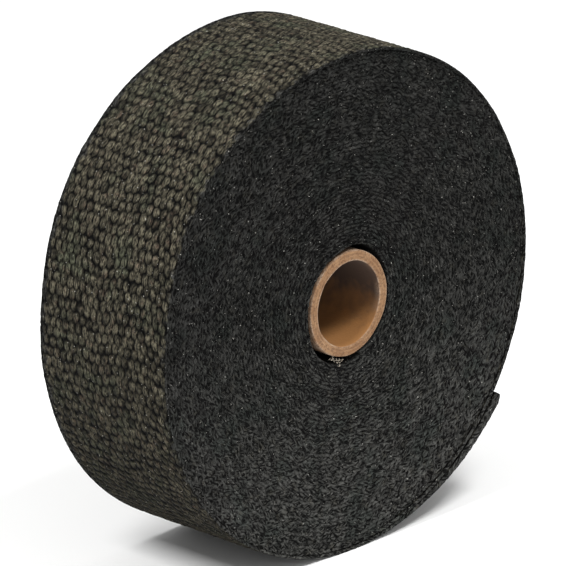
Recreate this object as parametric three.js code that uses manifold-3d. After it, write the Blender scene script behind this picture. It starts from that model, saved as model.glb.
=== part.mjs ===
// A roll of woven exhaust heat wrap: a glass-fibre tape wound on a cardboard tube, standing on its rim.
// Millimetres, +Z up. The roll's axis lies along Y above the origin, and the floor is z = 0.
// Seen from the front, from -Y, the turns run inwards clockwise and the loose end is low on the right.
import * as THREE from "three";
import { mergeVertices } from "three/addons/utils/BufferGeometryUtils.js";
import Module from "manifold-3d";

const wasm = await Module();
wasm.setup();

// Driving dimensions
const tapeWidth = 50.8;
const tapeThickness = 1.2;
const outerTurnRadius = 78.2; // outside of the outer turn where the loose end leaves it
const facets = 48; // straight faces round the rim, with one of them flat on the floor

const coreBoreRadius = 13;
const coreWall = 3.2;
const coreProud = 0.2; // how far each end of the cardboard stands out of the roll
const coreChamfer = 0.4;
const windingClearance = 0.3; // between the cardboard and the first turn

const looseEndAngle = -34.8; // degrees, from +X towards +Z
const looseEndLength = 54; // measured along the rim
const looseEndLift = 3.2; // gap under the loose end at its tip
const looseEndSteps = 6;
const looseEndRootGap = 0.05; // keeps the wedge under the loose end open at its root

const turnsPerRidge = 2; // turns that one ridge on the ends stands for
const grooveDepth = 0.8;
const innerTurnsRecess = 1.1; // how far the first turns lie below the roll's end face
const recessFade = 5; // radial distance over which that recess dies out
const lapOverlap = 0.6; // how far the outer turn reaches over the ridged body

// Worked out from the dimensions above
const turnAngle = 2 * Math.PI;
const facetAngle = turnAngle / facets;
const firstCorner = -Math.PI / 2 + facetAngle / 2;
const coreRadius = coreBoreRadius + coreWall;
const coreLength = tapeWidth + 2 * coreProud;
const firstTurnRadius = coreRadius + windingClearance;
const looseEnd = THREE.MathUtils.degToRad(looseEndAngle);
const looseEndRoot = looseEnd - looseEndLength / outerTurnRadius;
const ridgedBodyRadius = outerTurnRadius - 2 * tapeThickness;
const lapInnerRadius = ridgedBodyRadius - lapOverlap;

// Outside radius of the outer turn at an angle: it shrinks by one thickness over a full turn, clockwise.
function outerRadiusAt(angle) {
  return outerTurnRadius - (tapeThickness * (looseEndRoot - angle)) / turnAngle;
}

// Height of the loose end above the turn below it, growing from its root to its tip.
function liftAt(angle) {
  const share = (angle - looseEndRoot) / (looseEnd - looseEndRoot);
  return looseEndRootGap + (looseEndLift - looseEndRootGap) * share ** 1.4;
}

function pointAt(radius, angle) {
  return new THREE.Vector2(radius * Math.cos(angle), radius * Math.sin(angle));
}

// The rim seen from the front: the loose end's outside, one clockwise turn, and back out under the loose end.
function rimOutline() {
  const looseEndAngles = [];
  for (let step = 0; step <= looseEndSteps; step++) {
    looseEndAngles.push(THREE.MathUtils.lerp(looseEnd, looseEndRoot, step / looseEndSteps));
  }
  const below = (angle) => outerRadiusAt(angle - turnAngle);
  const outside = looseEndAngles.map((a) => pointAt(below(a) + liftAt(a) + tapeThickness, a));
  const inside = looseEndAngles.slice(0, -1).map((a) => pointAt(below(a) + liftAt(a), a));

  const turn = [];
  for (let corner = firstCorner; corner > looseEndRoot - turnAngle; corner -= facetAngle) {
    if (corner < looseEndRoot) turn.push(pointAt(outerRadiusAt(corner), corner));
  }
  return [...outside, ...turn, pointAt(below(looseEndRoot), looseEndRoot), ...inside.reverse()];
}

// A circle as a polygon whose lowest side is level, so that it lines up with the rim's facets.
function polygonOutline(radius) {
  return Array.from({ length: facets }, (_, i) => pointAt(radius, firstCorner + i * facetAngle));
}

function toSolid(geometry) {
  geometry.deleteAttribute("normal");
  geometry.deleteAttribute("uv");
  const merged = mergeVertices(geometry, 1e-4);
  return new wasm.Manifold(
    new wasm.Mesh({
      numProp: 3,
      vertProperties: merged.attributes.position.array,
      triVerts: new Uint32Array(merged.index.array),
    }),
  );
}

function toGeometry(solid) {
  const mesh = solid.getMesh();
  const geometry = new THREE.BufferGeometry();
  geometry.setAttribute("position", new THREE.BufferAttribute(mesh.vertProperties, 3));
  geometry.setIndex(new THREE.BufferAttribute(mesh.triVerts, 1));
  geometry.computeVertexNormals();
  return geometry;
}

// Turned about Y, with the same facets as the rim and both ends alike.
// The end's points are (radius, distance from the middle along the axis), from the bore outwards.
function turned(end) {
  const one = end.map(([radius, along]) => new THREE.Vector2(radius, -along));
  const other = end.map(([radius, along]) => new THREE.Vector2(radius, along)).reverse();
  const geometry = new THREE.LatheGeometry([...one, ...other, one[0]], facets);
  return geometry.rotateY(facetAngle / 2);
}

// One end of the wound turns, from the bore outwards: a ridge and a groove for each few turns.
function ridgedEnd() {
  const ridgeWidth = tapeThickness * turnsPerRidge;
  const ridges = Math.round((lapInnerRadius - firstTurnRadius) / ridgeWidth);
  const pitch = (lapInnerRadius - firstTurnRadius) / ridges;
  const crown = (radius) =>
    tapeWidth / 2 - innerTurnsRecess * Math.exp(-(radius - firstTurnRadius) / recessFade);
  const end = [];
  for (let ridge = 0; ridge < ridges; ridge++) {
    const groove = firstTurnRadius + ridge * pitch;
    end.push([groove, crown(groove) - grooveDepth], [groove + pitch / 2, crown(groove + pitch / 2)]);
  }
  return [...end, [ridgedBodyRadius, tapeWidth / 2 - grooveDepth]];
}

function woundTape() {
  const body = toSolid(turned(ridgedEnd()));

  const shape = new THREE.Shape(rimOutline());
  shape.holes.push(new THREE.Path(polygonOutline(lapInnerRadius)));
  const lap = new THREE.ExtrudeGeometry(shape, { depth: tapeWidth, bevelEnabled: false });
  lap.translate(0, 0, -tapeWidth / 2).rotateX(Math.PI / 2);

  return toGeometry(body.add(toSolid(lap)));
}

function cardboardCore() {
  const end = coreLength / 2;
  return turned([
    [coreBoreRadius, end - coreChamfer],
    [coreBoreRadius + coreChamfer, end],
    [coreRadius - coreChamfer, end],
    [coreRadius, end - coreChamfer],
  ]);
}

const wrapMaterial = new THREE.MeshStandardMaterial({ color: 0x2b2b28, roughness: 0.95, metalness: 0 });
const cardboardMaterial = new THREE.MeshStandardMaterial({ color: 0xa27a55, roughness: 0.85, metalness: 0 });

function piece(name, geometry, material) {
  const mesh = new THREE.Mesh(geometry, material);
  mesh.name = name;
  return mesh;
}

const roll = new THREE.Group();
roll.add(piece("wound_tape", woundTape(), wrapMaterial));
roll.add(piece("cardboard_core", cardboardCore(), cardboardMaterial));

// The rim's lowest corner rests on the floor.
roll.position.z = -Math.min(...rimOutline().map((point) => point.y));

export default roll;
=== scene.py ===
import math
import bpy
import numpy as np
from mathutils import Matrix, Vector


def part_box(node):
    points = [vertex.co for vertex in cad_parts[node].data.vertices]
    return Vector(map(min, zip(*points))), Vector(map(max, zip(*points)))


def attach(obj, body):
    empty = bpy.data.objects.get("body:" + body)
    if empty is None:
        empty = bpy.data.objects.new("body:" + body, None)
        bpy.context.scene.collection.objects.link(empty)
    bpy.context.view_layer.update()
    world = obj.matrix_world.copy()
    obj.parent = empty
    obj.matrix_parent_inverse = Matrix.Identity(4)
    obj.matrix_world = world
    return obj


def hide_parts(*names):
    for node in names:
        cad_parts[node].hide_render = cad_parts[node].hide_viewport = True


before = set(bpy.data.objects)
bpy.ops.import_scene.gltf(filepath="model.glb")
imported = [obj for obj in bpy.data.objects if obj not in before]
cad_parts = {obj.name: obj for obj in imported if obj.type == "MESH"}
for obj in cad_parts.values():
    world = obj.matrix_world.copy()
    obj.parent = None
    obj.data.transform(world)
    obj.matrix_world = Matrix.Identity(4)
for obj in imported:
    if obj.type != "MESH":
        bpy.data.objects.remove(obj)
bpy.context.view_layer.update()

coreLow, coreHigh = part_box("cardboard_core")
axisHeight = (coreLow[2] + coreHigh[2]) / 2
turn = 2 * math.pi


# shared mesh and noise helpers

def makeObject(name, vertices, faceSets, cornerPlaces=None, materialNumbers=None):
    # vertices is an array of points, faceSets a list of index arrays with one face to a row;
    # cornerPlaces gives each face corner's place on the tape, and materialNumbers each face's material
    loops = np.concatenate([faces.ravel() for faces in faceSets])
    sizes = np.concatenate([np.full(len(faces), faces.shape[1]) for faces in faceSets])
    mesh = bpy.data.meshes.new(name)
    mesh.vertices.add(len(vertices))
    mesh.vertices.foreach_set("co", np.asarray(vertices, np.float32).ravel())
    mesh.loops.add(len(loops))
    mesh.loops.foreach_set("vertex_index", loops.astype(np.int32))
    mesh.polygons.add(len(sizes))
    mesh.polygons.foreach_set("loop_start", (np.cumsum(sizes) - sizes).astype(np.int32))
    mesh.polygons.foreach_set("use_smooth", np.ones(len(sizes), bool))
    if materialNumbers is not None:
        mesh.polygons.foreach_set("material_index", np.concatenate(materialNumbers).astype(np.int32))
    if cornerPlaces is not None:
        layer = mesh.attributes.new("tapePlace", "FLOAT_VECTOR", "CORNER")
        places = np.concatenate([place.reshape(-1, 3) for place in cornerPlaces])
        layer.data.foreach_set("vector", places.astype(np.float32).ravel())
    mesh.update(calc_edges=True)
    if mesh.validate():
        print("mesh repaired:", name)
    piece = bpy.data.objects.new(name, mesh)
    bpy.context.scene.collection.objects.link(piece)
    return piece


def gridFaces(rows, columns, closeRows=False, closeColumns=False):
    # quads between neighbouring rows and columns of a grid stored row by row
    i = np.arange(rows if closeRows else rows - 1)
    j = np.arange(columns if closeColumns else columns - 1)
    i, j = np.meshgrid(i, j, indexing="ij")
    iNext, jNext = (i + 1) % rows, (j + 1) % columns
    return np.stack([i * columns + j, iNext * columns + j, iNext * columns + jNext, i * columns + jNext],
                    axis=-1).reshape(-1, 4)


def smoothNoise(values, seed, spacing):
    # random numbers at every whole step of values / spacing, joined by a smooth step
    table = np.random.default_rng(seed).uniform(-1, 1, 8192)
    place = np.asarray(values) / spacing
    whole = np.floor(place).astype(int)
    part = place - whole
    part = part * part * (3 - 2 * part)
    return table[whole % 8192] * (1 - part) + table[(whole + 1) % 8192] * part


def blotches(first, second, seed, spacing):
    # random numbers on a square lattice over two coordinates, joined by smooth steps
    table = np.random.default_rng(seed).uniform(-1, 1, (256, 256))
    a, b = first / spacing, second / spacing
    i, j = np.floor(a).astype(int), np.floor(b).astype(int)
    a, b = a - i, b - j
    a, b = a * a * (3 - 2 * a), b * b * (3 - 2 * b)
    near = table[i % 256, j % 256] * (1 - a) + table[(i + 1) % 256, j % 256] * a
    far = table[i % 256, (j + 1) % 256] * (1 - a) + table[(i + 1) % 256, (j + 1) % 256] * a
    return near * (1 - b) + far * b


def randomPer(whole, seed):
    # one random number from 0 to 1 for each pair of whole numbers
    a, b = whole
    mixed = np.sin(a * 12.9898 + b * 78.233 + seed * 37.719) * 43758.5453
    return mixed - np.floor(mixed)


def onRoll(radius, angle, along):
    # radius and angle round the roll's axis, seen from the front, and the distance along it
    return np.stack([radius * np.cos(angle), along + 0 * radius, axisHeight + radius * np.sin(angle)], -1)


# the tape and its weave

tape = {
    "width": 0.0508,
    "thickness": 0.0012,
    "outerRadius": 0.0782,        # of the outer turn, where the loose end leaves it
    "firstRadius": 0.0165,
    "endAngle": math.radians(-34.8),     # of the loose end's tip, seen from the front
    "looseLength": 0.054,
    "looseLift": 0.0032,          # gap under the loose end at its tip
    "pickSpacing": 0.0033,        # from one crosswise yarn to the next
    "warpEnds": 38,               # lengthwise yarns
}
warpSpacing = tape["width"] / tape["warpEnds"]
rootAngle = tape["endAngle"] - tape["looseLength"] / tape["outerRadius"]


def turnRadius(angle):
    # the outer turn's radius shrinks by one thickness over each full clockwise turn
    return tape["outerRadius"] - tape["thickness"] * (rootAngle - angle) / turn


def tapeRadius(angle):
    # the loose end's radius: the turn below it, plus a gap that grows towards the tip, plus the thickness
    share = np.clip((angle - rootAngle) / (tape["endAngle"] - rootAngle), 0, 1)
    lifted = turnRadius(angle - turn) + tape["thickness"] + 0.00005 + tape["looseLift"] * share ** 1.35
    return np.where(angle > rootAngle, np.maximum(lifted, turnRadius(angle)), turnRadius(angle))


def weaveHeight(along, across):
    # lengthwise yarns wave over and under the crosswise ones, neighbours in opposite phase; the surface
    # is the higher rounded back of the nearest yarn and the next one, and no two bumps are equally high
    place = across / warpSpacing - 0.5
    yarn = np.round(place)
    off = place - yarn
    heights = []
    for number, distance, phase in ((yarn, np.abs(off), 1), (yarn + np.sign(off), 1 - np.abs(off), -1)):
        picks = along / tape["pickSpacing"]
        wave = phase * weave["wave"] * np.cos(np.pi * (picks + yarn))
        back = np.sqrt(np.clip(1 - (distance / weave["halfWidth"]) ** 2, 0, 1))
        bump = np.floor((picks + number) / 2 + 0.5)
        full = 1 - weave["uneven"] * randomPer((number, bump), 3) * (wave > 0)
        heights.append(np.where(distance < weave["halfWidth"], wave + back, -weave["wave"]) * full)
    return (np.maximum(*heights) + 0.1) / (1.1 + weave["wave"])


def edgeHeight(along, share, turns):
    # the tape's edge is a chain of short steep legs in two rows, half a pick apart, each with its own
    # lean, place and strength; the surface is the higher of the two rows
    rows = []
    for side, shift in ((1, 0.0), (-1, 0.5)):
        pick = along / tape["pickSpacing"] * weave["legsPerPick"] + shift
        leg = np.floor(pick)
        lean = weave["lean"] * (2 * randomPer((leg, turns), 5 + side) - 1)
        strength = 1 - weave["weakLeg"] * randomPer((leg, turns), 9 + side)
        centre = 0.5 + lean * (share - 0.5) - 0.1 + 0.2 * randomPer((leg, turns), 12 + side)
        back = np.sqrt(np.clip(1 - ((pick - leg - centre) / weave["legHalf"]) ** 2, 0, 1))
        rows.append(back * strength)
    return np.maximum(rows[0], rows[1])


weave = {
    "wave": 0.95,                 # of a lengthwise yarn, against its rounded back
    "halfWidth": 0.80,            # of a lengthwise yarn's back, in yarn spacings
    "uneven": 0.22,               # share of a bump's height that varies from one to the next
    "legsPerPick": 1.7,           # legs of yarn along the tape's edge, in each of two rows
    "lean": 0.9,                  # sideways run of a leg across the tape's thickness, in legs
    "legHalf": 0.42,              # half a leg's width, in legs
    "weakLeg": 0.7,               # share of a leg's height that varies
}

outerTurn = {
    "samplesPerPick": 4,
    "samplesPerYarn": 3,
    "relief": 0.00075,            # height of the weave
    "edgeSamples": 4,
    "innerSamples": 14,
    "depth": 0.0011,              # from the outer face's crests to the back
    "fill": 0.85,                 # share of the gap under the loose end that its swollen selvedges take up
    "tipRound": 0.0019,
    "tipFade": 0.0035,
    "tailOverlap": 0.10,          # how far the inner end reaches past the full turn, as an angle
    "pickBow": 0.0016,
    "pickWander": 0.00036,
    "yarnWander": 0.00042,
    "selvedgeRound": 0.0006,
    "legSwell": 0.0003,
    "sway": (0.0004, 0.00015),    # of the whole tape sideways, coarse and fine
    "dent": 0.0002,
}


def buildOuterTurn():
    # a closed ring of points is carried along the tape: the woven outer face, both selvedges and the back
    length = turn + (tape["endAngle"] - rootAngle) + outerTurn["tailOverlap"]
    steps = int(length * tape["outerRadius"] / tape["pickSpacing"] * outerTurn["samplesPerPick"])
    angle = tape["endAngle"] - length * np.arange(steps + 1) / steps
    travelled = (tape["endAngle"] - angle) * tape["outerRadius"]
    travelled = travelled + 0.0005 * smoothNoise(travelled, 9, 0.012)
    across = np.linspace(-0.5, 0.5, tape["warpEnds"] * outerTurn["samplesPerYarn"] + 1) * tape["width"]
    side = np.linspace(0, 1, outerTurn["edgeSamples"] + 2)[1:-1]
    back = np.linspace(0.5, -0.5, outerTurn["innerSamples"]) * tape["width"]
    halfWidth = 0.5 * tape["width"]
    ringAcross = np.concatenate([across, halfWidth + 0 * side, back, 0 * side - halfWidth])
    ringDepth = np.concatenate([0 * across, side, 1 + 0 * back, side[::-1]])

    s, y = np.meshgrid(travelled, ringAcross, indexing="ij")
    depth = np.broadcast_to(ringDepth, s.shape)
    # each pick bows a little across the tape, and the yarns wander
    sPlace = s + outerTurn["pickBow"] * smoothNoise(y + 7, 14, 0.009) \
        + outerTurn["pickWander"] * blotches(s, y, 17, 0.0042)
    yPlace = y + outerTurn["yarnWander"] * blotches(s, y, 15, 0.0044)
    outside = depth == 0
    low = 1 - weaveHeight(sPlace, yPlace)
    edge = np.abs(y) / halfWidth
    rounding = np.clip((edge - 0.93) / 0.07, 0, 1) ** 2 * outerTurn["selvedgeRound"]
    bulge = (depth > 0) & (depth < 1)
    swell = outerTurn["legSwell"] * edgeHeight(sPlace, 1 - depth, 0) * bulge
    coarse, fine = outerTurn["sway"]
    sway = coarse * smoothNoise(s, 11, 0.05) + fine * smoothNoise(s, 12, 0.011)
    along = y + np.sign(y) * (swell + 0.0002 * bulge * np.sin(np.pi * depth)) + sway
    radius = tapeRadius(angle)[:, None] - outerTurn["depth"] * depth \
        + outerTurn["dent"] * smoothNoise(s, 13, 0.03)
    radius = radius - (low * outerTurn["relief"] + rounding) * outside
    # the loose end's selvedges curl in towards the roll, and its tip is worn round
    gap = tapeRadius(angle) - outerTurn["depth"] - turnRadius(angle - turn)
    gap = np.where(angle > rootAngle, np.maximum(gap, 0), 0)[:, None]
    radius = radius - outerTurn["fill"] * gap * depth * (edge > 0.99)
    atTip = np.clip(1 - s / outerTurn["tipFade"], 0, 1)
    radius = radius - outerTurn["tipRound"] * atTip ** 2 * (1 - depth)
    points = onRoll(radius, angle[:, None], along).reshape(-1, 3)
    # the roll's own weight presses the crests flat where it stands
    pressed = 0.0001 + 0.2 * np.clip(points[:, 2], -0.0005, 0.0003)
    points[:, 2] = np.where(points[:, 2] < 0.0003, pressed, points[:, 2])

    rows, columns = s.shape
    ring = np.arange(columns)
    points = np.concatenate([points, [points[:columns].mean(0), points[-columns:].mean(0)]])
    tip = np.stack([np.full(columns, len(points) - 2), ring, np.roll(ring, -1)], -1)
    tail = np.stack([np.full(columns, len(points) - 1), np.roll(ring, -1), ring], -1)
    tail[:, 1:] += (rows - 1) * columns
    sides = gridFaces(rows, columns, closeColumns=True)
    # a corner's place on the outer face and the back is how far along and how far across the tape it lies;
    # on the selvedges it's how far along and how far through the thickness, and then a turn number
    places = np.stack([sPlace, yPlace, 0 * s], -1).reshape(-1, 3)
    places = np.concatenate([places, places[:1], places[-1:]])
    onFace = ((depth == 0) | (depth == 1)).ravel()[sides].all(1)
    cornerPlaces = places[sides]
    through = ((1 - depth) * (tape["thickness"] + outerTurn["fill"] * gap)).ravel()
    cornerPlaces[..., 1] = np.where(onFace[:, None], cornerPlaces[..., 1], through[sides])
    beyond = woundTurns["turns"] + 0.5 * np.sign(y.ravel()[sides])     # counts on from the turns below
    cornerPlaces[..., 2] = np.where(onFace[:, None], 0, beyond)
    caps = [places[tip], places[tail]]
    numbers = [np.where(onFace, 0, 1), np.ones(columns), np.ones(columns)]
    return makeObject("outer_turn", points, [sides, tip, tail], [cornerPlaces] + caps, numbers)


woundTurns = {
    "turns": 49,
    "samplesAcross": 4,           # points from one turn to the next
    "samplesRound": 480,
    "relief": 0.0007,
    "groove": 0.00012,            # how far the grooves between the turns stand above the legs' foot
    "inset": 0.0004,              # of the legs' foot, from the tape's half width
    "outerInset": 0.00105,        # of the last turn below the outer one
    "offset": (0.00022, 0.00018), # how unevenly the turns stand out, coarse and fine
    "rimDrop": 0.0007,
    "gap": 0.0011,                # between the cardboard and the first turns, where it is widest
    "gapFade": 0.006,
}


def buildWoundTurns(name, side):
    # a disc whose rows follow the spiral, so that once round is one tape thickness further out;
    # its inner and outer rims go straight down to the middle of the roll, where a flat ring closes it
    per, around = woundTurns["samplesAcross"], woundTurns["samplesRound"]
    last = woundTurns["turns"] * per
    outermost = tape["outerRadius"] - tape["thickness"] - woundTurns["outerInset"]
    spacing = (outermost - tape["firstRadius"]) / woundTurns["turns"]
    row, column = np.meshgrid(np.arange(last + 1), np.arange(around), indexing="ij")
    row = np.concatenate([row.ravel(), last + 1 + np.arange(per)])
    column = np.concatenate([column.ravel(), np.zeros(per, int)])
    radius = tape["firstRadius"] + spacing * (row / per + column / around)
    angle = rootAngle + turn * column / around
    seed = 30 + 10 * (side > 0)

    def travelledAt(turns):
        # length of tape up to a number of turns, with picks that aren't quite evenly spaced
        straight = turn * (tape["firstRadius"] * turns + spacing * turns ** 2 / 2)
        return straight + 0.0022 * smoothNoise(straight, seed + 2, 0.023) + 0.003 * side

    def turnOffset(turns):
        coarse, fine = woundTurns["offset"]
        return coarse * smoothNoise(turns, seed, 1.3) + fine * smoothNoise(turns, seed + 1, 0.17)

    whole = row // per                         # which turn
    share = row / per - whole                  # how far across its thickness
    turns = whole + column / around            # how far along the tape
    groove = 0.5 * (turnOffset(turns) + turnOffset(turns - 1)) + woundTurns["groove"]
    top = turnOffset(turns) + woundTurns["relief"] * edgeHeight(travelledAt(turns), share, whole)
    crown = -woundTurns["rimDrop"] * np.clip((radius - 0.0735) / 0.004, 0, 1) ** 2
    # the turns have let go of the cardboard at the upper right and lower left
    loose = np.clip(np.cos(2 * (angle - 1.05)) + 0.15 * np.sin(3 * angle), 0, 1)
    near = np.exp(-(radius - tape["firstRadius"]) / woundTurns["gapFade"])
    crown = crown + (0.0002 - 0.0011 * loose) * near ** 2
    radius = radius + woundTurns["gap"] * loose * near
    level = 0.5 * tape["width"] - woundTurns["inset"] + crown
    along = side * (level + np.where(share == 0, groove, top))

    # the last column of each row is the first one, one turn further out
    r, c = np.meshgrid(np.arange(last), np.arange(around), indexing="ij")

    def corner(rowStep, columnStep):
        wrapped = (c + columnStep) // around
        outRow = r + rowStep + per * wrapped
        return np.where(outRow > last, (last + 1) * around + outRow - last - 1,
                        outRow * around + (c + columnStep) % around)

    def cornerPlace(rowStep, columnStep):
        # how far along the tape, how far across its thickness, and which turn
        along = travelledAt(r // per + (c + columnStep) / around)
        across = (r % per + rowStep) / per * tape["thickness"]
        return np.stack([along, across, 0.0 + r // per], -1)

    steps = ((0, 0), (1, 0), (1, 1), (0, 1))
    faces = np.stack([corner(*step) for step in steps], -1).reshape(-1, 4)
    places = np.stack([cornerPlace(*step) for step in steps], -2).reshape(-1, 4, 3)

    innerRim = np.concatenate([np.arange(around), np.arange(per, 0, -1) * around])
    outerRim = np.concatenate([last * around + np.arange(around),
                               ((last + 1) * around + np.arange(per))[::-1]])
    count, rim = len(radius), len(innerRim)
    radius = np.concatenate([radius, radius[innerRim], radius[outerRim]])
    angle = np.concatenate([angle, angle[innerRim], angle[outerRim]])
    along = np.concatenate([along, np.zeros(2 * rim)])
    lowInner, lowOuter = count + np.arange(rim), count + rim + np.arange(rim)
    rings = [(innerRim, lowInner), (lowInner, lowOuter), (lowOuter, outerRim)]
    faceSets = [faces] + [np.stack([a, np.roll(a, -1), np.roll(b, -1), b], -1) for a, b in rings]
    placeSets = [places] + [np.zeros((rim, 4, 3))] * 3
    if side > 0:
        faceSets = [f[:, ::-1] for f in faceSets]
        placeSets = [p[:, ::-1] for p in placeSets]
    return makeObject(name, onRoll(radius, angle, along), faceSets, placeSets)


# the cardboard core, and the lint below it

core = {
    "boreRadius": 0.013,
    "wall": 0.0032,
    "length": coreHigh[1] - coreLow[1],
    "around": 240,
    "cornerRadius": 0.0005,
    "endWear": 0.0012,            # length at each end that is out of round
    "lumps": ((0.00010, 2, 0.7), (0.00007, 5, 2.1), (0.00005, 11, 0.0)),   # height, number and start of each
    "plySpacing": 0.0008,
}


def buildCore():
    # a closed profile of wall, rounded corner and end face is turned round the axis, a little out of round
    half, corner = core["length"] / 2, core["cornerRadius"]
    inner, outer = core["boreRadius"], core["boreRadius"] + core["wall"]
    bend = np.linspace(0, np.pi / 2, 5)
    wallAlong = np.linspace(-half + corner, half - corner, 26)[1:-1]     # its ends belong to the corners
    faceRadius = np.linspace(outer - corner, inner + corner, 12)
    quarter = corner * np.sin(bend), corner * (1 - np.cos(bend))
    radius = np.concatenate([outer + 0 * wallAlong, outer - quarter[1], faceRadius[1:-1],
                             inner + quarter[1][::-1], inner + 0 * wallAlong, inner + quarter[1],
                             faceRadius[::-1][1:-1], outer - quarter[1][::-1]])
    along = np.concatenate([wallAlong, half - corner + quarter[0], half + 0 * faceRadius[1:-1],
                            half - corner + quarter[0][::-1], wallAlong[::-1], -half + corner - quarter[0],
                            -half + 0 * faceRadius[1:-1], -half + corner - quarter[0][::-1]])
    angle = turn * np.arange(core["around"]) / core["around"]
    a, r = np.meshgrid(angle, radius, indexing="ij")
    y = np.broadcast_to(along, a.shape)
    atEnd = np.clip((np.abs(y) - half + core["endWear"]) / core["endWear"], 0, 1)
    r = r + sum(high * np.sin(number * a + begin) for high, number, begin in core["lumps"]) * atEnd
    ply = np.cos(turn * (r - inner) / core["plySpacing"])
    y = y + np.sign(y) * atEnd * (0.00006 * ply + 0.00008 * np.sin(3 * a + 1) - 0.00008)
    rows, columns = a.shape
    faces = gridFaces(rows, columns, closeRows=True, closeColumns=True)[:, ::-1]
    return makeObject("core_tube", onRoll(r, a, y).reshape(-1, 3), [faces])


lint = {
    "fibres": 22,
    "steps": 9,
    "thickness": 0.00010,
    "length": 0.0016,
    "places": ((0.0178, -1.81), (0.0178, -1.79), (0.0170, -1.98)),  # radius and angle of each tuft
    "dark": (0.16, 0.13, 0.10),
    "pale": (0.36, 0.32, 0.26),
}


def buildLint():
    # short curled fibres caught in the first turns below the cardboard, each a closed five-sided tube
    numbers = np.random.default_rng(51)
    count, steps, sides = lint["fibres"], lint["steps"], 5
    middle = np.array(lint["places"])[numbers.integers(0, len(lint["places"]), count)]
    heading, bend = numbers.uniform(0, turn, count), numbers.uniform(-2.6, 2.6, count)
    length = lint["length"] * numbers.uniform(0.4, 1.0, count)
    share = np.linspace(-0.5, 0.5, steps)
    direction = heading[:, None] + bend[:, None] * share
    step = (length / steps)[:, None]
    x = (middle[:, 0] * np.cos(middle[:, 1]) + numbers.normal(0, 0.0004, count))[:, None] \
        + np.cumsum(np.cos(direction), 1) * step
    z = (middle[:, 0] * np.sin(middle[:, 1]) + numbers.normal(0, 0.0003, count))[:, None] \
        + np.cumsum(np.sin(direction), 1) * step
    lift = numbers.uniform(0.0001, 0.0007, count)[:, None] * (1 - 3 * share ** 2)
    y = -0.5 * tape["width"] + 0.0004 - lift
    around = turn * np.arange(sides) / sides
    thick = lint["thickness"] * np.sqrt(np.clip(1.02 - (2 * share) ** 2, 0, 1))[None, :, None]
    side = np.cos(around) * thick
    ringX = x[..., None] - np.sin(direction)[..., None] * side
    ringZ = z[..., None] + np.cos(direction)[..., None] * side
    ringY = y[..., None] + np.sin(around) * thick
    points = np.stack([ringX, ringY, ringZ + axisHeight], -1).reshape(-1, 3)
    tube = gridFaces(steps, sides, closeColumns=True)
    start = sides * steps * np.arange(count)[:, None, None]
    faces = (tube[None] + start).reshape(-1, 4)
    caps = np.stack([np.arange(sides), sides * steps - 1 - np.arange(sides)])
    ends = (caps[None] + start).reshape(-1, sides)
    return makeObject("lint", points, [faces, ends])


# materials

def newMaterial(name):
    material = bpy.data.materials.new(name)
    material.use_nodes = True
    return material, material.node_tree, material.node_tree.nodes["Principled BSDF"]


def addNode(tree, kind, **values):
    node = tree.nodes.new(kind)
    for key, value in values.items():
        setattr(node, key, value)
    return node


def feed(tree, value, socket):
    # a socket takes a link from another one, or a plain number or colour
    if hasattr(value, "links"):
        tree.links.new(value, socket)
    else:
        socket.default_value = (*value, 1) if socket.type == "RGBA" else value


def mixColour(tree, factor, first, second, blend="MIX"):
    node = addNode(tree, "ShaderNodeMix", data_type="RGBA", blend_type=blend)
    for socket, value in ((node.inputs[0], factor), (node.inputs[6], first), (node.inputs[7], second)):
        feed(tree, value, socket)
    return node.outputs[2]


def mapRange(tree, value, low, high, toLow=0.0, toHigh=1.0):
    node = addNode(tree, "ShaderNodeMapRange", clamp=True)
    for socket, number in zip(node.inputs[:5], (value, low, high, toLow, toHigh)):
        feed(tree, number, socket)
    return node.outputs[0]


def noise(tree, vector, scale, detail=3.0):
    node = addNode(tree, "ShaderNodeTexNoise")
    node.inputs["Scale"].default_value = scale
    node.inputs["Detail"].default_value = detail
    tree.links.new(vector, node.inputs["Vector"])
    return node.outputs[0]


def maths(tree, operation, *values):
    node = addNode(tree, "ShaderNodeMath", operation=operation)
    for socket, value in zip(node.inputs, values):
        feed(tree, value, socket)
    return node.outputs[0]


def split(tree, vector):
    parts = addNode(tree, "ShaderNodeSeparateXYZ")
    tree.links.new(vector, parts.inputs[0])
    return parts.outputs


def objectPlace(tree):
    return addNode(tree, "ShaderNodeTexCoord").outputs["Object"]


def addBump(tree, height, strength, distance, normal=None):
    node = addNode(tree, "ShaderNodeBump")
    node.inputs["Strength"].default_value = strength
    node.inputs["Distance"].default_value = distance
    tree.links.new(height, node.inputs["Height"])
    if normal:
        tree.links.new(normal, node.inputs["Normal"])
    return node.outputs[0]


def newGroup(name, inputs, outputs):
    # a shader node group with named sockets, each given with its kind
    group = bpy.data.node_groups.new(name, "ShaderNodeTree")
    for direction, sockets in (("INPUT", inputs), ("OUTPUT", outputs)):
        for socket, kind in sockets.items():
            group.interface.new_socket(socket, in_out=direction, socket_type="NodeSocket" + kind)
    return group, addNode(group, "NodeGroupInput").outputs, addNode(group, "NodeGroupOutput").inputs


def placeGroup(tree, group, **values):
    node = addNode(tree, "ShaderNodeGroup", node_tree=group)
    for name, value in values.items():
        feed(tree, value, node.inputs[name])
    return node.outputs


def roundBack(tree, distance, half):
    # the square root of one minus (distance / half) squared, never below zero
    scaled = maths(tree, "DIVIDE", distance, half)
    left = maths(tree, "SUBTRACT", 1.0, maths(tree, "MULTIPLY", scaled, scaled))
    return maths(tree, "SQRT", maths(tree, "MAXIMUM", left, 0.0))


def randomOf(tree, *values):
    joined = addNode(tree, "ShaderNodeCombineXYZ")
    for socket, value in zip(joined.inputs, values):
        tree.links.new(value, socket)
    node = addNode(tree, "ShaderNodeTexWhiteNoise", noise_dimensions="3D")
    tree.links.new(joined.outputs[0], node.inputs["Vector"])
    return node.outputs["Value"]


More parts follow.
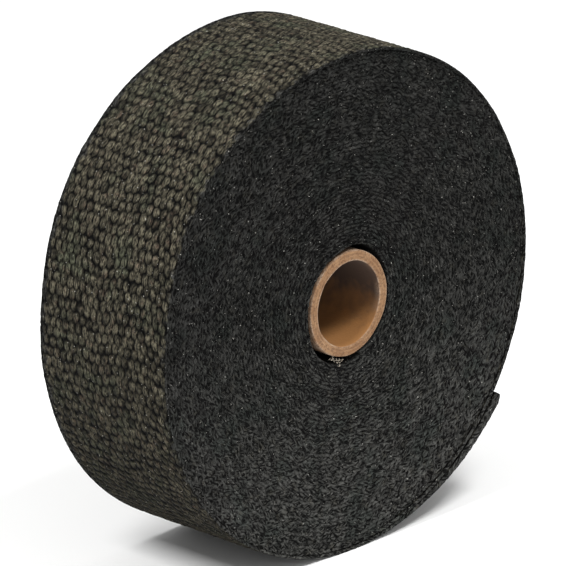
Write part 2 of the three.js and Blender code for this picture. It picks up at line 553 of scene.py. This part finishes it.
def weaveGroup():
    # the same height as weaveHeight gives, with level bumps, and one random number for each of them
    group, entry, result = newGroup("plain_weave", {"Place": "Vector"}, {"Height": "Float", "Tone": "Float"})

    def m(*values):
        return maths(group, *values)
    along, across = split(group, entry["Place"])[:2]
    place = m("SUBTRACT", m("DIVIDE", across, warpSpacing), 0.5)
    yarn = m("ROUND", place)
    off = m("SUBTRACT", place, yarn)
    far = m("SUBTRACT", 1.0, m("ABSOLUTE", off))
    picks = m("DIVIDE", along, tape["pickSpacing"])
    wave = m("MULTIPLY", m("COSINE", m("MULTIPLY", m("ADD", picks, yarn), math.pi)), weave["wave"])
    own = m("ADD", roundBack(group, off, weave["halfWidth"]), wave)
    reaches = m("LESS_THAN", far, weave["halfWidth"])
    raised = m("SUBTRACT", roundBack(group, far, weave["halfWidth"]), wave)
    sunk = m("MULTIPLY", m("SUBTRACT", 1.0, reaches), weave["wave"])
    other = m("SUBTRACT", m("MULTIPLY", raised, reaches), sunk)
    height = m("DIVIDE", m("ADD", m("MAXIMUM", own, other), 0.1), 1.1 + weave["wave"])
    ownYarn = m("ADD", yarn, m("MULTIPLY", m("GREATER_THAN", other, own), m("SIGN", off)))
    stretch = m("FLOOR", m("ADD", m("MULTIPLY", m("ADD", picks, ownYarn), 0.5), 0.5))
    group.links.new(height, result["Height"])
    group.links.new(randomOf(group, ownYarn, stretch), result["Tone"])
    return group


def wornYarnGroup():
    # yarns run from dark to pale by their own tone and a soft noise; large patches turn green and small
    # ones rusty. The fibres, the paleness, the soft noise and the small patches come out as values too
    group, entry, result = newGroup(
        "worn_yarn",
        {"Body": "Vector", "Tone": "Float",
         "Dark": "Color", "Pale": "Color", "Green": "Color", "Rust": "Color"},
        {"Colour": "Color", "Paleness": "Float", "Fibres": "Float", "Soft": "Float", "Patches": "Float"})
    soft = noise(group, entry["Body"], wrapLook["softScale"], 2.0)
    largePatches = noise(group, entry["Body"], wrapLook["patchScale"])
    patches = noise(group, entry["Body"], wrapLook["smallPatchScale"])
    paleness = maths(group, "ADD", maths(group, "MULTIPLY", entry["Tone"], 0.42),
                     mapRange(group, soft, 0.3, 0.7, 0.05, 0.55))
    colour = mixColour(group, paleness, entry["Dark"], entry["Pale"])
    colour = mixColour(group, mapRange(group, largePatches, 0.50, 0.68, 0.0, 0.7), colour, entry["Green"])
    colour = mixColour(group, mapRange(group, patches, 0.56, 0.72, 0.0, 0.5), colour, entry["Rust"])
    fibres = noise(group, entry["Body"], wrapLook["fibreScale"], 4.0)
    for name, value in (("Colour", colour), ("Paleness", paleness), ("Fibres", fibres), ("Soft", soft),
                        ("Patches", patches)):
        group.links.new(value, result[name])
    return group


def paintedShadeGroup():
    # the colour is multiplied by the shade, painted shade in gaps and grooves along with fibre streaks, and
    # by a painted light and shade factor that goes from Bottom at height Low to Top at height High; pale
    # flecks lie on it, specks of pale fibre and painted glints
    group, entry, result = newGroup(
        "painted_shade_and_flecks",
        {"Body": "Vector", "Colour": "Color", "Shade": "Float",
         "Low": "Float", "High": "Float", "Bottom": "Float", "Top": "Float"},
        {"Colour": "Color"})
    level = split(group, entry["Body"])[2]
    # painted light and shade: brighter or darker by the height above the floor
    paintedLightByHeight = mapRange(group, level, entry["Low"], entry["High"], entry["Bottom"], entry["Top"])
    shade = maths(group, "MULTIPLY", entry["Shade"], paintedLightByHeight)
    grey = addNode(group, "ShaderNodeCombineColor")
    for socket in grey.inputs[:3]:
        group.links.new(shade, socket)
    colour = mixColour(group, 1.0, entry["Colour"], grey.outputs[0], "MULTIPLY")
    # pale flecks: specks of pale fibre and painted glints of the glass
    flecks = mapRange(group, noise(group, entry["Body"], wrapLook["fleckScale"], 0.0), 0.80, 0.86, 0.0, 0.8)
    group.links.new(mixColour(group, flecks, colour, wrapLook["fleck"]), result["Colour"])
    return group


wrapLook = {
    # pale flecks, partly painted glints
    "fleck": (0.35, 0.34, 0.31),
    "softScale": 330.0,
    "patchScale": 95.0,
    "smallPatchScale": 420.0,
    "fibreScale": 1400.0,
    "fleckScale": 1900.0,
    "specular": 0.08,
    "fineBump": 0.8,
}

faceLook = {
    "dark": (0.010, 0.009, 0.0065),
    "pale": (0.070, 0.063, 0.044),
    "green": (0.034, 0.038, 0.025),
    "rust": (0.054, 0.036, 0.027),
    "gapShade": (0.34, 0.86, 0.005, 1.18),    # painted shade in the gaps between bumps: height from and to, with the shade at each
    "streaks": (0.22, 1.78),              # shade between the fibres and on them
    "paintedLightByHeight": (0.0, 0.09, 0.42, 1.0),       # painted shade: darker low down
    "bumps": (0.0010, 0.0003),            # of the weave and of the fibres
    "fray": 0.0008,                       # how far the pattern wanders
    "frayScale": 800.0,
    "streakScale": (620.0, 2500.0, 1.0),
    "selvedge": (0.0238, 0.0254),         # distance from the middle where the dark selvedge begins and ends
}

edgeLook = {
    "dark": (0.005, 0.005, 0.0048),
    "pale": (0.042, 0.042, 0.039),
    "green": (0.015, 0.018, 0.016),
    "rust": (0.026, 0.024, 0.018),
    # painted shade in the gaps between strokes: height from and to, with the shade at each
    "gapShade": (0.0, 0.90, 0.05, 1.5),
    "streaks": (0.75, 1.25),
    "paintedLightByHeight": (0.015, 0.085, 1.55, 0.68),   # painted light: brighter low down
    "bumps": (0.0005, 0.0002),
    "toneScale": 700.0,
    "strokeLeans": (0.45, -0.60),
    "strokeSize": (0.0021, 0.00055, 0.37),
    "strokePatchScale": 520.0,
    "grooveWidth": 0.00028,
    "grooveShade": (0.0, 26.0, 0.35, 0.85),   # painted shade, darkest near the cardboard: turn from and to, with the shade at each
}


def strokes(tree, place, body):
    # short streaks across the tape's edge, some leaning one way and some the other
    fields = []
    for lean in edgeLook["strokeLeans"]:
        mapping = addNode(tree, "ShaderNodeMapping", vector_type="TEXTURE")
        mapping.inputs["Rotation"].default_value = (0, 0, lean)
        mapping.inputs["Scale"].default_value = edgeLook["strokeSize"]
        tree.links.new(place, mapping.inputs["Vector"])
        fields.append(noise(tree, mapping.outputs[0], 1.0, 0.0))
    which = mapRange(tree, noise(tree, body, edgeLook["strokePatchScale"], 0.0), 0.44, 0.56)
    difference = maths(tree, "MULTIPLY", maths(tree, "SUBTRACT", fields[1], fields[0]), which)
    return mapRange(tree, maths(tree, "ADD", fields[0], difference), 0.35, 0.63)


def yarnColours(tree, look, body, tone):
    return placeGroup(tree, yarnGroup, Body=body, Tone=tone, Dark=look["dark"], Pale=look["pale"],
                      Green=look["green"], Rust=look["rust"])


def shadeOf(tree, look, height, fibres):
    # painted shade: gaps go nearly black by the height, and streaks follow the fibres
    return maths(tree, "MULTIPLY", mapRange(tree, height, *look["gapShade"]),
                 mapRange(tree, fibres, 0.30, 0.70, *look["streaks"]))


def finishWrap(tree, shader, look, body, colour, shade, height, fibres):
    low, high, bottom, top = look["paintedLightByHeight"]
    shadedColour = placeGroup(tree, paintedShading, Body=body, Colour=colour, Shade=shade, Low=low, High=high,
                       Bottom=bottom, Top=top)
    tree.links.new(shadedColour["Colour"], shader.inputs["Base Color"])
    tree.links.new(mapRange(tree, fibres, 0.3, 0.7, 0.7, 0.9), shader.inputs["Roughness"])
    shader.inputs["Specular IOR Level"].default_value = wrapLook["specular"]
    coarse = addBump(tree, height, 1.0, look["bumps"][0])
    fine = addBump(tree, fibres, wrapLook["fineBump"], look["bumps"][1], coarse)
    tree.links.new(fine, shader.inputs["Normal"])


def tapeFaceMaterial():
    # the weave's group gives the bumps and each one's tone, at a place that wanders a little; fine streaks
    # run along the fibres, and the selvedges are as dark as the ends
    material, tree, shader = newMaterial("woven_tape_face")
    body = objectPlace(tree)
    wander = addNode(tree, "ShaderNodeTexNoise")
    wander.inputs["Scale"].default_value = faceLook["frayScale"]
    wander.inputs["Detail"].default_value = 1.0
    tree.links.new(body, wander.inputs["Vector"])
    frayed = addNode(tree, "ShaderNodeVectorMath", operation="MULTIPLY_ADD")
    tree.links.new(wander.outputs["Color"], frayed.inputs[0])
    frayed.inputs[1].default_value = (faceLook["fray"], 0.7 * faceLook["fray"], 0)
    tree.links.new(addNode(tree, "ShaderNodeAttribute", attribute_name="tapePlace").outputs["Vector"],
                   frayed.inputs[2])
    place = frayed.outputs[0]
    pattern = placeGroup(tree, weaveGroup(), Place=place)
    yarns = yarnColours(tree, faceLook, body, pattern["Tone"])
    height = maths(tree, "ADD", pattern["Height"], mapRange(tree, yarns["Soft"], 0.3, 0.7, -0.22, 0.20))
    stretched = addNode(tree, "ShaderNodeMapping")
    stretched.inputs["Scale"].default_value = faceLook["streakScale"]
    tree.links.new(place, stretched.inputs["Vector"])
    streaks = maths(tree, "ADD", noise(tree, stretched.outputs[0], 1.0, 2.0),
                    maths(tree, "MULTIPLY", yarns["Fibres"], 0.35))
    fibres = mapRange(tree, streaks, 0.52, 0.84, 0.20, 0.80)
    outward = maths(tree, "ADD", maths(tree, "ABSOLUTE", split(tree, place)[1]),
                    mapRange(tree, yarns["Patches"], 0.3, 0.7, -0.0016, 0.0016))
    plain = mixColour(tree, yarns["Paleness"], edgeLook["dark"], edgeLook["pale"])
    colour = mixColour(tree, mapRange(tree, outward, *faceLook["selvedge"]), yarns["Colour"], plain)
    finishWrap(tree, shader, faceLook, body, colour, shadeOf(tree, faceLook, height, fibres), height, fibres)
    return material


def tapeEdgeMaterial():
    # short strokes of yarn; painted shade darkens the grooves between the turns, most of all near the
    # cardboard
    material, tree, shader = newMaterial("woven_tape_edge")
    body = objectPlace(tree)
    place = addNode(tree, "ShaderNodeAttribute", attribute_name="tapePlace").outputs["Vector"]
    yarns = yarnColours(tree, edgeLook, body, noise(tree, body, edgeLook["toneScale"], 1.0))
    height, fibres = strokes(tree, place, body), yarns["Fibres"]
    parts = split(tree, place)
    # painted shade in the grooves between the turns
    fromGroove = maths(tree, "PINGPONG", parts[1], tape["thickness"] / 2)
    groove = maths(tree, "MAXIMUM", mapRange(tree, fromGroove, 0.0, edgeLook["grooveWidth"]),
                   mapRange(tree, parts[2], *edgeLook["grooveShade"]))
    shade = maths(tree, "MULTIPLY", shadeOf(tree, edgeLook, height, fibres), groove)
    finishWrap(tree, shader, edgeLook, body, yarns["Colour"], shade, height, fibres)
    return material


cardboardLook = {
    "end": (0.180, 0.086, 0.033),
    "endPale": (0.320, 0.190, 0.095),
    "inside": (0.26, 0.115, 0.030),
    "insideShaded": (0.052, 0.029, 0.018),
    # painted highlight on the inner and outer edges of the ends
    "rim": (0.40, 0.32, 0.25),
    "speckle": (0.105, 0.048, 0.019),
    "seam": (0.05, 0.025, 0.012),
    "seamTurns": 9.0,             # turns of the spiral seam in a metre
    "plies": 0.165,               # half the distance between two pale rings, as a share of the wall
    "roughness": 0.82,
}


def cardboardMaterial():
    # paper fibres mottle the brown; thin pale rings show the plies on the ends, by distance from the axis,
    # and painted highlights pale their inner and outer edges; the inside is a redder brown with a dark
    # spiral seam, and painted shade darkens it towards its top
    look = cardboardLook
    material, tree, shader = newMaterial("brown_cardboard")
    body = objectPlace(tree)
    x, y, z = split(tree, body)
    z = maths(tree, "SUBTRACT", z, axisHeight)
    squares = maths(tree, "ADD", maths(tree, "MULTIPLY", x, x), maths(tree, "MULTIPLY", z, z))
    inner, outer = core["boreRadius"], core["boreRadius"] + core["wall"]
    radial = mapRange(tree, maths(tree, "SQRT", squares), inner, outer)
    mottle = noise(tree, body, 260.0, 4.0)
    speckle = noise(tree, body, 1500.0, 4.0)
    wavy = maths(tree, "ADD", radial, mapRange(tree, mottle, 0.3, 0.7, -0.05, 0.05))
    ring = maths(tree, "PINGPONG", wavy, look["plies"])
    colour = mixColour(tree, mapRange(tree, ring, 0.05, 0.15, 0.0, 0.35), look["end"], look["endPale"])
    colour = mixColour(tree, mapRange(tree, mottle, 0.40, 0.68, 0.0, 0.5), colour, look["endPale"])
    # painted highlight: pale rims along the inner and outer edges of the ends
    fromMiddle = maths(tree, "ABSOLUTE", maths(tree, "SUBTRACT", radial, 0.52))
    rim = maths(tree, "MULTIPLY", mapRange(tree, fromMiddle, 0.36, 0.46, 0.0, 0.55),
                mapRange(tree, mottle, 0.35, 0.6))
    colour = mixColour(tree, rim, colour, look["rim"])
    colour = mixColour(tree, mapRange(tree, speckle, 0.46, 0.66, 0.0, 0.8), colour, look["speckle"])
    # painted shade: the bore goes darker towards its top
    boreShadeLevel = maths(tree, "ADD", z, mapRange(tree, mottle, 0.3, 0.7, -0.003, 0.003))
    bore = mixColour(tree, mapRange(tree, boreShadeLevel, -0.010, 0.002), look["inside"], look["insideShaded"])
    inside = mapRange(tree, radial, 0.0, 0.06, 1.0, 0.0)
    colour = mixColour(tree, inside, colour, bore)
    spiral = maths(tree, "ADD", maths(tree, "MULTIPLY", y, look["seamTurns"]),
                   maths(tree, "DIVIDE", maths(tree, "ARCTAN2", z, x), turn))
    seam = mapRange(tree, maths(tree, "PINGPONG", spiral, 0.5), 0.0, 0.012, 0.85, 0.0)
    colour = mixColour(tree, maths(tree, "MULTIPLY", seam, inside), colour, look["seam"])
    tree.links.new(colour, shader.inputs["Base Color"])
    shader.inputs["Roughness"].default_value = look["roughness"]
    tree.links.new(addBump(tree, noise(tree, body, 1200.0, 5.0), 0.5, 0.00015), shader.inputs["Normal"])
    return material


def lintMaterial():
    # dull cream fibres, a little uneven
    material, tree, shader = newMaterial("pale_lint")
    uneven = noise(tree, objectPlace(tree), 900.0, 1.0)
    tree.links.new(mixColour(tree, uneven, lint["dark"], lint["pale"]), shader.inputs["Base Color"])
    shader.inputs["Roughness"].default_value = 0.9
    return material


yarnGroup, paintedShading = wornYarnGroup(), paintedShadeGroup()
faceMaterial, edgeMaterial = tapeFaceMaterial(), tapeEdgeMaterial()
cardboard = cardboardMaterial()
outer = buildOuterTurn()
front = buildWoundTurns("front_turns", -1)
rear = buildWoundTurns("back_turns", 1)
outer.data.materials.append(faceMaterial)
for piece in (outer, front, rear):
    piece.data.materials.append(edgeMaterial)
    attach(piece, "root")
    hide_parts("wound_tape")
tufts = buildLint()
tufts.data.materials.append(lintMaterial())
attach(tufts, "root")
tube = buildCore()
tube.data.materials.append(cardboard)
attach(tube, "root")
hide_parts("cardboard_core")
print("stage: pieces made", sum(len(o.data.polygons) for o in (outer, front, rear, tube)), "faces")


# floor, light and camera

studio = {
    "floorColour": (0.93, 0.93, 0.925),
    "worldColour": (1.0, 1.0, 1.0),
    "worldStrength": 0.52,
    "floorHalf": 6.0,
    "lights": (                   # name, position, size, power and target
        ("top_front", (0.08, -0.55, 1.2), 0.35, 13, (0, 0, 0.078)),
        ("top_left", (-0.75, 0.0, 0.95), 0.35, 12, (0, 0, 0.078)),
        ("low_front", (0.04, -0.20, 0.02), 0.12, 0.10, (0.03, -0.025, 0.01)),
    ),
}


def buildFloor():
    half = studio["floorHalf"]
    points = np.array([[-half, -half, 0], [half, -half, 0], [half, half, 0], [-half, half, 0]])
    floor = makeObject("studio_floor", points, [np.array([[0, 1, 2, 3]])])
    material, tree, shader = newMaterial("pale_floor")
    mottle = noise(tree, objectPlace(tree), 3.0, 2.0)
    shade = tuple(0.97 * value for value in studio["floorColour"])
    tree.links.new(mixColour(tree, mottle, studio["floorColour"], shade), shader.inputs["Base Color"])
    shader.inputs["Roughness"].default_value = 0.9
    floor.data.materials.append(material)


def buildLight():
    world = bpy.data.worlds.new("studio_world")
    bpy.context.scene.world = world
    world.use_nodes = True
    background = world.node_tree.nodes["Background"]
    background.inputs[0].default_value = (*studio["worldColour"], 1)
    background.inputs[1].default_value = studio["worldStrength"]
    for name, position, size, power, target in studio["lights"]:
        data = bpy.data.lights.new(name, "AREA")
        data.energy, data.size = power, size
        lamp = bpy.data.objects.new(name, data)
        lamp.location = position
        lamp.rotation_euler = (Vector(target) - Vector(position)).to_track_quat("-Z", "Y").to_euler()
        bpy.context.scene.collection.objects.link(lamp)


cameraFit = {
    "azimuth": -0.80107710,
    "elevation": 0.33543523,
    "distance": 2.4503472,
    "focal": 8257.6,              # in pixels of the photograph
    "pixels": 566,
    "roll": 0.0024,
    "aim": (-0.00047, 0.00012),   # the small turn from the roll's middle, right and up
}


def buildCamera():
    # the fitted camera looks at the roll's middle from its azimuth and elevation, through a long lens
    a, e = cameraFit["azimuth"], cameraFit["elevation"]
    away = Vector((math.sin(a) * math.cos(e), -math.cos(a) * math.cos(e), math.sin(e)))
    data = bpy.data.cameras.new("camera")
    data.sensor_width = 36
    data.lens = cameraFit["focal"] / cameraFit["pixels"] * data.sensor_width
    data.clip_start, data.clip_end = 0.05, 60
    camera = bpy.data.objects.new("camera", data)
    right = Vector((math.cos(a), math.sin(a), 0))
    look = -away + cameraFit["aim"][0] * right + cameraFit["aim"][1] * away.cross(right)
    turned = look.to_track_quat("-Z", "Y").to_matrix() @ Matrix.Rotation(-cameraFit["roll"], 3, "Z")
    camera.matrix_world = Matrix.Translation(Vector((0, 0, axisHeight)) + away * cameraFit["distance"]) \
        @ turned.to_4x4()
    bpy.context.scene.collection.objects.link(camera)
    bpy.context.scene.camera = camera


buildFloor()
buildLight()
buildCamera()
bpy.context.scene.view_settings.view_transform = "Standard"
print("stage: floor, light and camera ready")
